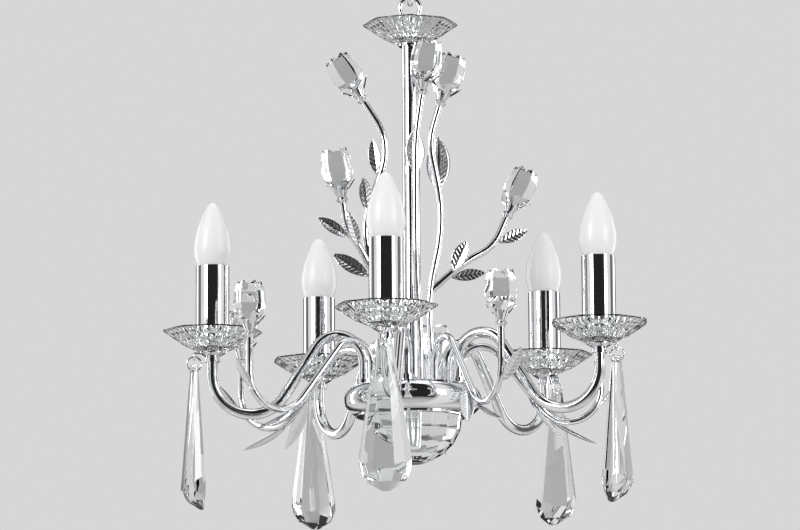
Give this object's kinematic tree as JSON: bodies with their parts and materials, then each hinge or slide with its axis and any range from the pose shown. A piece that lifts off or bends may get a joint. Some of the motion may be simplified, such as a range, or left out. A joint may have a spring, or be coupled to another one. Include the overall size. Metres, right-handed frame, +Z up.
{
  "type": "crystal chandelier",
  "caption": "Hanging chandelier with candle arms, cut crystal dishes, long crystal drops and glass rosebuds on chromed stems.",
  "frame": {"origin": "the point the lamp hangs from, inside the upper bow of the chain link", "axes": "+Z up along the column, -Y towards the viewer"},
  "size_m": [0.4443, 0.4419, 0.526],
  "materials": {
    "chrome": "polished chromium plate on steel and brass",
    "crystal": "clear cut and polished crystal",
    "opal_glass": "satin opal glass bulb with a nickelled cap",
    "steel": "zinc-plated steel",
    "holder_plastic": "moulded heat-resistant plastic",
    "terminal_plastic": "moulded connector plastic"
  },
  "bodies": {
    "suspension": {"chain_link": "chrome"},
    "frame": {"arm_1": "chrome", "arm_2": "chrome", "arm_3": "chrome", "arm_4": "chrome", "arm_5": "chrome", "arm_collars": "chrome", "arm_nuts": "steel", "calyxes": "chrome", "candle_tube_1": "chrome", "candle_tube_2": "chrome", "candle_tube_3": "chrome", "candle_tube_4": "chrome", "candle_tube_5": "chrome", "central_rod": "steel", "column_collar": "chrome", "column_tube": "chrome", "dish_cups": "chrome", "drip_dish_1": "crystal", "drip_dish_2": "crystal", "drip_dish_3": "crystal", "drip_dish_4": "crystal", "drip_dish_5": "crystal", "half_ball": "crystal", "hub_base": "chrome", "hub_shell": "chrome", "lampholders": "holder_plastic", "leaves_lower": "chrome", "leaves_upper": "chrome", "low_stem_1": "chrome", "low_stem_2": "chrome", "low_stem_3": "chrome", "low_stem_4": "chrome", "low_stem_5": "chrome", "rod_nuts": "steel", "rosebuds_lower": "crystal", "rosebuds_upper": "crystal", "tall_stem_left": "chrome", "tall_stem_middle": "chrome", "tall_stem_right": "chrome", "terminal_block": "terminal_plastic", "top_dish": "crystal", "top_loop": "chrome", "top_washer": "chrome"},
    "bulb_1": {"bulb_1": "opal_glass"},
    "ring_1": {"drop_ring_1": "chrome"},
    "drop_1": {"drop_1": "crystal"},
    "bulb_2": {"bulb_2": "opal_glass"},
    "ring_2": {"drop_ring_2": "chrome"},
    "drop_2": {"drop_2": "crystal"},
    "bulb_3": {"bulb_3": "opal_glass"},
    "ring_3": {"drop_ring_3": "chrome"},
    "drop_3": {"drop_3": "crystal"},
    "bulb_4": {"bulb_4": "opal_glass"},
    "ring_4": {"drop_ring_4": "chrome"},
    "drop_4": {"drop_4": "crystal"},
    "bulb_5": {"bulb_5": "opal_glass"},
    "ring_5": {"drop_ring_5": "chrome"},
    "drop_5": {"drop_5": "crystal"}
  },
  "joints": [
    {"name": "frame_swing", "type": "hinge", "parent": "suspension", "child": "frame", "pos_m": [0, 0, -0.0385], "axis": [0, 1, 0], "range_deg": [-30, 30]},
    {"name": "bulb_1_lift", "type": "slide", "parent": "frame", "child": "bulb_1", "axis": [0, 0, 1], "range_m": [0, 0.045]},
    {"name": "ring_1_swing", "type": "hinge", "parent": "frame", "child": "ring_1", "pos_m": [-0.02498, -0.20347, -0.3824], "axis": [-0.9925, 0.1219, 0], "range_deg": [-10, 45]},
    {"name": "drop_1_sway", "type": "hinge", "parent": "ring_1", "child": "drop_1", "pos_m": [-0.02498, -0.20347, -0.3925], "axis": [-0.1219, -0.9925, 0], "range_deg": [-30, 30]},
    {"name": "bulb_2_lift", "type": "slide", "parent": "frame", "child": "bulb_2", "axis": [0, 0, 1], "range_m": [0, 0.045]},
    {"name": "ring_2_swing", "type": "hinge", "parent": "frame", "child": "ring_2", "pos_m": [0.18579, -0.08664, -0.3824], "axis": [-0.4226, -0.9063, 0], "range_deg": [-10, 45]},
    {"name": "drop_2_sway", "type": "hinge", "parent": "ring_2", "child": "drop_2", "pos_m": [0.18579, -0.08664, -0.3925], "axis": [0.9063, -0.4226, 0], "range_deg": [-30, 30]},
    {"name": "bulb_3_lift", "type": "slide", "parent": "frame", "child": "bulb_3", "axis": [0, 0, 1], "range_m": [0, 0.045]},
    {"name": "ring_3_swing", "type": "hinge", "parent": "frame", "child": "ring_3", "pos_m": [0.13981, 0.14993, -0.3824], "axis": [0.7314, -0.682, 0], "range_deg": [-10, 45]},
    {"name": "drop_3_sway", "type": "hinge", "parent": "ring_3", "child": "drop_3", "pos_m": [0.13981, 0.14993, -0.3925], "axis": [0.682, 0.7314, 0], "range_deg": [-30, 30]},
    {"name": "bulb_4_lift", "type": "slide", "parent": "frame", "child": "bulb_4", "axis": [0, 0, 1], "range_m": [0, 0.045]},
    {"name": "ring_4_swing", "type": "hinge", "parent": "frame", "child": "ring_4", "pos_m": [-0.09939, 0.1793, -0.3824], "axis": [0.8746, 0.4848, 0], "range_deg": [-10, 45]},
    {"name": "drop_4_sway", "type": "hinge", "parent": "ring_4", "child": "drop_4", "pos_m": [-0.09939, 0.1793, -0.3925], "axis": [-0.4848, 0.8746, 0], "range_deg": [-30, 30]},
    {"name": "bulb_5_lift", "type": "slide", "parent": "frame", "child": "bulb_5", "axis": [0, 0, 1], "range_m": [0, 0.045]},
    {"name": "ring_5_swing", "type": "hinge", "parent": "frame", "child": "ring_5", "pos_m": [-0.20123, -0.03912, -0.3824], "axis": [-0.1908, 0.9816, 0], "range_deg": [-10, 45]},
    {"name": "drop_5_sway", "type": "hinge", "parent": "ring_5", "child": "drop_5", "pos_m": [-0.20123, -0.03912, -0.3925], "axis": [-0.9816, -0.1908, 0], "range_deg": [-30, 30]}
  ]
}
